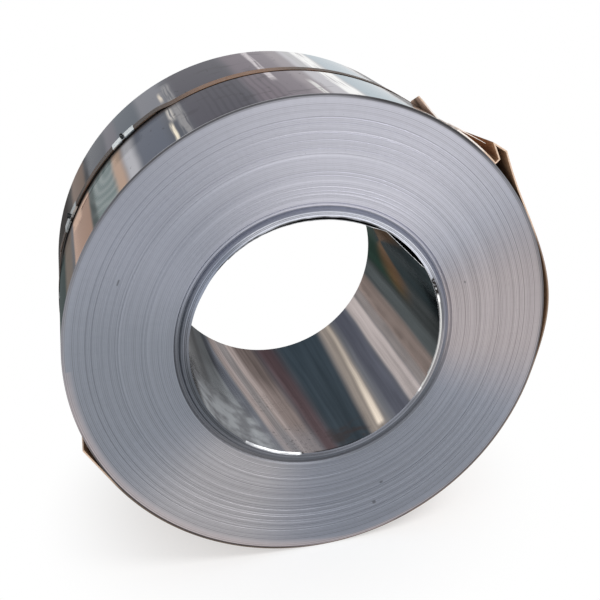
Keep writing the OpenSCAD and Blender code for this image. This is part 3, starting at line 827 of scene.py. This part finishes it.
def coil():
    segments, lengths = 320, 8
    theta = np.linspace(0, TURN, segments, endpoint=False)
    line = turn_steps()
    inner, outer = 0, len(line) - 1
    rim = [(COIL_R, y) for y in np.linspace(FRONT_Y, REAR_Y, lengths)[1:-1]]
    flare_ys = (FRONT_Y + FLARE_DEPTH, FRONT_Y + FLARE_DEPTH - 1)
    bore = [(BORE_R, y) for y in (*np.linspace(REAR_Y, FRONT_Y, lengths)[1:-1], *flare_ys)]
    rear = line.copy()
    rear[-1, 1] = -EDGE_ROUND
    profile = np.concatenate([
        np.stack([line[:, 0], FRONT_Y + line[:, 1]], axis=1),
        rim,
        np.stack([rear[::-1, 0], REAR_Y + rear[::-1, 1]], axis=1),
        bore,
    ])
    rows = len(profile)
    r = np.repeat(profile[:, :1], segments, axis=1)
    y = np.repeat(profile[:, 1:], segments, axis=1)
    # The first turn's front edge
    signed = (theta + HALF_TURN) % TURN - HALF_TURN
    from_flare = np.abs(signed - FLARE_ANGLE)
    flare = FLARE_OUT * smooth((FLARE_HALF + FLARE_MARGIN - from_flare) / FLARE_FADE)
    nicks = NICK_DEPTH * hump(signed, NICK_ANGLE, NICK_HALF)
    wobble = 0.25 * np.sin(np.radians(signed) * 9) + 0.2 * np.sin(np.radians(signed) * 23 + 1)
    wobble *= smooth((np.abs(signed - 10) - 50) / 10)
    for k in (inner, inner + 1):
        r[k] += flare + wobble
        y[k] += nicks
    r[inner + 2] += flare * 0.4
    slot_of = np.full(rows, END)
    slot_of[outer : outer + len(rim) + 1] = RIM
    slot_of[rows - len(bore) - 1 :] = BORE
    a = np.radians(theta)[None, :]
    points = np.stack([r * np.cos(a), y, r * np.sin(a)], axis=-1).reshape(-1, 3)
    faces = grid_faces(rows, segments, wrap=True)
    slots = np.repeat(slot_of[: rows - 1], segments).tolist()
    last = (rows - 1) * segments
    for j in range(segments):
        k = (j + 1) % segments
        faces.append((last + j, last + k, k, j))
        slots.append(LIP if from_flare[j] < FLARE_HALF else BORE)
    materials = [end_material, rim_material, bore_material, lip_material]
    piece = mesh_piece("coil_turns", points, faces, materials, slots)
    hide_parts("coil")


def strip_sheet(name, inside, outside, y_front, y_rear, shares, materials):
    """Closed sheet between two lines in the plane of the ends, drawn out along the bore."""
    y_front, y_rear = (np.broadcast_to(y, len(inside))[:, None] for y in (y_front, y_rear))
    ys = y_front + (y_rear - y_front) * np.asarray(shares)[None, :]
    ys = np.concatenate([ys, ys[::-1]])
    loop = np.concatenate([inside, outside[::-1]])
    points = np.array([(x, y, z) for (x, z), row in zip(loop, ys) for y in row])
    rows, columns = ys.shape
    half = rows // 2
    faces = grid_faces(rows, columns)
    slots = []
    for i in range(rows - 1):
        slots += [EDGE] + [INSIDE if i < half else OUTSIDE] * (columns - 2)
    last = (rows - 1) * columns
    faces += [(last + j, last + j + 1, j + 1, j) for j in range(columns - 1)]
    slots += [EDGE] * (columns - 1)
    for i in range(half - 1):
        for j in (0, columns - 1):
            a, b = i * columns + j, (i + 1) * columns + j
            c, d = (rows - 2 - i) * columns + j, (rows - 1 - i) * columns + j
            faces.append((a, b, c, d))
            slots.append(EDGE)
    return mesh_piece(name, points, faces, materials, slots)


def loose_turn():
    """Start of the strip, which springs off the bore's wall in a flat chord at the upper right."""
    start, leave, land, end = 132.0, 56.0, 31.0, -25.0
    theta = np.concatenate([
        np.linspace(start, leave + 1.0, 76),
        np.linspace(leave - 0.2, land, 26),
        np.linspace(land - 0.4, end, 140),
    ])
    wall, sag, chord_mid, chord_r = BORE_R - 1.0, 4.5, 43.2, 245.6
    hang = wall - sag * smooth((start - theta) / 45) * smooth((theta - leave) / 10)
    flat = np.minimum(chord_r / np.cos(np.radians(theta - chord_mid)), wall)
    hug = wall + 0.85 * smooth((land - theta) / 50)
    r_in = np.where(theta > leave, hang, np.where(theta > land, flat, hug))
    thickness = 0.8 * np.clip((theta - end) / 50, 0.05, 1.0)
    # Its front edge is torn where it meets the wall again
    depth, torn_mid, torn_half = 7.0, 15.0, 17.0
    torn = depth * np.abs(np.sin(theta * 0.9)) * np.abs(np.sin(theta * 2.7 + 1.0))
    torn = torn * hump(theta, torn_mid, torn_half) + 2.5 * hump(theta, 13.8, 1.6)
    shares = (0.0, 0.006, 0.1, 0.3, 0.5, 0.7, 0.85, 1.0)
    inset = 0.2
    piece = strip_sheet(
        "coil_loose_turn", polar(r_in, theta), polar(r_in + thickness, theta),
        FRONT_Y + inset + torn, REAR_Y - inset, shares, [bore_material, lip_material, gap_shade_material],
    )


# Strap


def strap_rise(angle):
    """Distance off the coil: the strap stands off at its lap, and its end lies on its start."""
    lap_rise, half_way = STRAP_T + LAYER_GAP, 300.0
    up = LAP_STAND * (1 - smooth((angle - STRAP_END) / CLIMB))
    again = (LAP_STAND + lap_rise) * smooth((angle - (STRAP_START + TURN - CLIMB)) / CLIMB)
    return np.where(angle < half_way, up, again)


def strap():
    step, bevel, most_drift = 0.75, 0.25, 0.6
    angle = np.arange(STRAP_START, STRAP_END + TURN + 0.01, step)
    r_low = COIL_R + SEAT_GAP + strap_rise(angle)
    half = STRAP_W / 2
    section = (
        (0.0, -half + bevel), (0.0, half - bevel), (bevel, half), (STRAP_T - bevel, half),
        (STRAP_T, half - bevel), (STRAP_T, -half + bevel), (STRAP_T - bevel, -half), (bevel, -half),
    )
    a = np.radians(angle)
    side = most_drift * np.sin(a * 2.3 + 0.4)
    points = np.array([
        ((r + up) * math.cos(t), STRAP_BACK + out + drift, (r + up) * math.sin(t))
        for r, t, drift in zip(r_low, a, side)
        for up, out in section
    ])
    n = len(section)
    faces = grid_faces(len(angle), n, wrap=True)
    faces.append(tuple(range(n)))
    faces.append(tuple(range((len(angle) - 1) * n, len(angle) * n)))
    piece = mesh_piece("strap_band", points, faces, [strap_material], sharp=40.0)
    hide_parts("strap")


# Cardboard

EAR_BLUNT = 5.0
# Room for the strap on the board's inside, where the board lies on the coil
GROOVE_LINES = np.array([-18.5, -16.8, 16.8, 18.5])
GROOVE_DEPTH, GROOVE_HALF, GROOVE_SIDE = 1.3, 18.4, 1.6


def bulge(angle):
    reach = np.where(angle < BULGE_ANGLE, BULGE_REACH, PLEAT_LAND - BULGE_ANGLE)
    share = np.minimum(1, np.abs(angle - BULGE_ANGLE) / reach)
    return BULGE_H * np.cos(share * math.pi / 2) ** 2


def high_angle(depth):
    """Angle of the board's upper end at a distance behind its front edge."""
    return HIGH_FRONT + (HIGH_REAR - HIGH_FRONT) * min(depth / HIGH_RUN, 1.0)


def pleat_corners(share):
    """Points along the pleat, from where it lifts off to its foot, at a share of the way back."""
    lift = np.linspace(0, 1, 22)[1:]
    angle = np.concatenate([
        PLEAT_LAND + (PLEAT_OUT - PLEAT_LAND) * lift, [PLEAT_MID, PLEAT_IN, PLEAT_IN],
    ])
    height = np.concatenate([PLEAT_OUT_H * lift**LIFT_POWER, [PLEAT_MID_H, PLEAT_IN_H, 0.0]])
    front = np.concatenate([polar(BOARD_R, [PLEAT_LAND]), polar(BOARD_R + height, angle)])
    run = np.cumsum(np.linalg.norm(np.diff(front, axis=0), axis=1))
    whole = run[-1] + BOARD_R * math.radians(HIGH_FRONT - PLEAT_IN)
    laid = PLEAT_LAND + (HIGH_FRONT - PLEAT_LAND) * run / whole
    angle = angle + (laid - angle) * share
    return polar(BOARD_R + height * (1 - share), angle), angle[-1]


def board_middle(depth):
    """Middle line of the board at a distance behind its front edge."""
    low_leave = LOW_END + math.degrees(math.atan(LOW_FLAP / BOARD_R))
    leave = polar(BOARD_R, low_leave)
    flap = [leave + polar(LOW_FLAP * s, low_leave - 90) for s in np.linspace(1, 0.1, 8)]
    angle = np.linspace(low_leave, PLEAT_LAND, 178)
    round_part = polar(BOARD_R + bulge(angle), angle)
    pleat, foot_angle = pleat_corners(depth / BOARD_W)
    corner, ridge, nose, foot = pleat[-4:]
    top = [corner + (ridge - corner) * s for s in np.linspace(0.08, 1, 6)]
    down = [ridge + (nose - ridge) * s for s in np.linspace(0.12, 1, 7)]
    back = [nose + (foot - nose) * s for s in (0.3, 0.7, 1.0)]
    seat = polar(BOARD_R, foot_angle + (high_angle(depth) - foot_angle) * np.linspace(0, 1, 16)[1:])
    return np.concatenate([flap, round_part, pleat[:-3], top, down, back, seat])


def ear_length(place):
    """Length of the turned-up part at a distance along its crease."""
    line = np.interp(place, [EAR_START, EAR_TIP, EAR_END], [0.0, EAR_L, EAR_END_L])
    end = np.clip((EAR_END - place) / EAR_BLUNT, 0.0, 1.0)
    return line * np.sqrt(1 - (1 - end) ** 2)


def side_normals(line):
    """Unit normals to the left of a line of points, mitred at its corners."""
    run = np.diff(line, axis=0)
    run /= np.linalg.norm(run, axis=1)[:, None]
    left = np.stack([-run[:, 1], run[:, 0]], axis=1)
    before = np.concatenate([left[:1], left])
    after = np.concatenate([left, left[-1:]])
    middle = before + after
    middle /= np.linalg.norm(middle, axis=1)[:, None]
    return middle / np.maximum((middle * before).sum(axis=1), 0.35)[:, None]


def board():
    middle = (HIGH_FRONT + HIGH_REAR) / 2
    half_s = BOARD_R * math.sin(math.radians(HIGH_FRONT - HIGH_REAR) / 2)
    crease_turn = math.atan2(2 * half_s, HIGH_RUN)
    lean = math.radians(EAR_ANGLE)
    rise = polar(1.0, middle + 90) * math.cos(lean) * math.cos(crease_turn)
    direction = rise + polar(1.0, middle) * math.sin(lean)
    back = math.cos(lean) * math.sin(crease_turn)
    ear_normal = np.array([[direction[1], -direction[0]]]) / np.linalg.norm(direction)
    front = FRONT_Y + BOARD_SETBACK
    ear_ys = [EAR_START, EAR_TIP, *np.linspace(EAR_END - EAR_BLUNT, EAR_END, 7)]
    ys = np.unique(np.concatenate([
        np.linspace(0, HIGH_RUN, 34), np.linspace(HIGH_RUN, BOARD_W, 16),
        np.array(ear_ys) * math.cos(crease_turn),
        STRAP_BACK - front + GROOVE_LINES,
    ]))
    outer, inner = [], []
    shares = np.linspace(0, 1, 9)[1:]
    for depth in ys:
        line = board_middle(depth)
        length = float(ear_length(depth / math.cos(crease_turn))) * shares
        full = np.concatenate([line, line[-1] + direction * length[:, None]])
        outwards = np.concatenate([-side_normals(line), np.repeat(ear_normal, len(shares), axis=0)])
        y = np.full(len(full), front + depth)
        y[len(line):] += length * back
        from_strap = abs(front + depth - STRAP_BACK)
        groove = GROOVE_DEPTH * smooth((GROOVE_HALF - from_strap) / GROOVE_SIDE)
        radius = np.hypot(full[:, 0], full[:, 1])
        seated = smooth((COIL_R + 6 - radius) / 3) * groove
        place_out = full + outwards * (BOARD_T / 2 - 0.1)
        place_in = full - outwards * (BOARD_T / 2 - seated)[:, None]
        outer.append(np.stack([place_out[:, 0], y, place_out[:, 1]], axis=1))
        inner.append(np.stack([place_in[:, 0], y, place_in[:, 1]], axis=1))
    outer, inner = np.array(outer), np.array(inner)
    rows, columns = outer.shape[:2]
    count = rows * columns
    points = np.concatenate([outer.reshape(-1, 3), inner.reshape(-1, 3)])
    faces = grid_faces(rows, columns)
    faces += [tuple(v + count for v in f) for f in grid_faces(rows, columns)]
    in_ear = columns - 1 - len(shares)
    row_slots = [OUTSIDE if j >= in_ear else INSIDE for j in range(columns - 1)]
    slots = row_slots * (2 * (rows - 1))
    edge = [(0, j) for j in range(columns)] + [(i, columns - 1) for i in range(1, rows)]
    edge += [(rows - 1, j) for j in range(columns - 2, -1, -1)]
    edge += [(i, 0) for i in range(rows - 2, 0, -1)]
    ring = [i * columns + j for i, j in edge]
    for a, b in zip(ring, ring[1:] + ring[:1]):
        faces.append((a, b, b + count, a + count))
        slots.append(EDGE)
    materials = [kraft_material, edge_material, lit_ear_material]
    piece = mesh_piece("cardboard_sheet", points, faces, materials, slots)
    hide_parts("cardboard_wrap")


def liner_flap():
    """Loose ply of the board that stands up inside the pleat."""
    shares = np.linspace(0, 1, 12)
    width, taper, rise, thickness = 60.0, 50.0, 10.5, 0.8
    theta = HIGH_FRONT - 0.4 - 7.2 * shares
    r = BOARD_R + BOARD_T / 2 + 0.3 + rise * shares**1.2
    front = FRONT_Y + BOARD_SETBACK + 0.5
    piece = strip_sheet(
        "cardboard_liner", polar(r, theta), polar(r + thickness, theta),
        front, front + width - taper * shares, np.linspace(0, 1, 8),
        [kraft_material, edge_material, lit_ear_material],
    )


end_material = end_steel()
rim_material = rim_steel()
bore_material = bore_steel()
lip_material = lip_steel()
gap_shade_material = gap_shade_steel()
strap_material = strap_steel()
zinc_material = seal_zinc()
kraft_material = kraft("kraft_board", *KRAFT)
edge_material = kraft("kraft_board_edge", *KRAFT_EDGE, EDGE_STRETCHES)
lit_ear_material = kraft("kraft_board_ear_lit", *KRAFT_EAR_LIT)

coil()
loose_turn()
strap()
board()
liner_flap()
for name in ("seal_upper", "seal_lower"):
    node = frame["nodes"][name]
    node.data.materials.clear()
    node.data.materials.append(zinc_material)
    bevel = node.modifiers.new("soft_edges", "BEVEL")
    bevel.width = 0.25 * MM
    bevel.segments = 2
    bevel.limit_method = "ANGLE"

# Stage

# The seen floor turns from half white to white between two distances in m
FLOOR_HALF, FLOOR_GREY, FLOOR_FADE = 9.0, 0.9, (0.5, 0.78, 0.5, 1.0)
# Strength of the sky as a light, and where it is seen or mirrored
SKY_LIGHT, SKY_SEEN = 0.4, 1.0
# Lamps by their place and size in m and their power in W
LAMPS = (("key", (1.9, -1.6, 2.6), 1.6, 90.0), ("fill", (-2.6, -1.8, 1.2), 2.0, 25.0))
LENS, SENSOR, SHIFT = 57.63, 36.0, (-0.1, -0.0167)
CAMERA_PLACE, CAMERA_TILT, CAMERA_TURN = (-0.4084, -1.9047, 0.8207), 67.29, -16.57


def floor():
    mesh = bpy.data.meshes.new("floor")
    z = cad_box[0].z
    corners = ((-FLOOR_HALF, -FLOOR_HALF), (FLOOR_HALF, -FLOOR_HALF))
    corners += tuple((-x, -y) for x, y in corners)
    mesh.from_pydata([(x, y, z) for x, y in corners], [], [(0, 1, 2, 3)])
    material = bpy.data.materials.new("floor")
    tree = empty_tree(material)
    matt = add_node(tree, "BsdfDiffuse", (FLOOR_GREY, FLOOR_GREY, FLOOR_GREY, 1.0))
    white = add_node(tree, "Emission")
    seen = add_node(tree, "LightPath").outputs["Is Camera Ray"]
    place = add_node(tree, "NewGeometry").outputs["Position"]
    distance = add_node(tree, "VectorMath", place, operation="LENGTH").outputs["Value"]
    far = add_node(tree, "MapRange", distance, *FLOOR_FADE, interpolation_type="SMOOTHSTEP")
    share = add_node(tree, "Math", seen, far.outputs[0], operation="MULTIPLY")
    mixed = add_node(tree, "MixShader", *(n.outputs[0] for n in (share, matt, white)))
    add_node(tree, "OutputMaterial", mixed.outputs[0])
    mesh.materials.append(material)
    plane = add_object("floor", mesh)


def world():
    sky = bpy.data.worlds.new("studio")
    bpy.context.scene.world = sky
    tree = empty_tree(sky)
    path = add_node(tree, "LightPath").outputs
    rays = path["Is Camera Ray"], path["Is Glossy Ray"]
    seen = add_node(tree, "Math", *rays, operation="MAXIMUM")
    strength = add_node(tree, "MapRange", seen.outputs[0], 0.0, 1.0, SKY_LIGHT, SKY_SEEN)
    light = add_node(tree, "Background", (*WHITE, 1.0), strength.outputs[0])
    add_node(tree, "OutputWorld", light.outputs[0])


def softbox(name, place, size, watts):
    lamp = bpy.data.lights.new(name, "AREA")
    lamp.shape = "DISK"
    lamp.size = size
    lamp.energy = watts
    holder = add_object(name, lamp)
    holder.location = place
    holder.rotation_euler = (-Vector(place)).to_track_quat("-Z", "Y").to_euler()


def camera():
    lens = bpy.data.cameras.new("camera")
    lens.lens = LENS
    lens.sensor_width = SENSOR
    lens.shift_x, lens.shift_y = SHIFT
    holder = add_object("camera", lens)
    holder.location = CAMERA_PLACE
    holder.rotation_euler = (math.radians(CAMERA_TILT), 0.0, math.radians(CAMERA_TURN))
    bpy.context.scene.camera = holder


floor()
world()
for lamp in LAMPS:
    softbox(*lamp)
camera()
bpy.context.scene.view_settings.view_transform = "Standard"
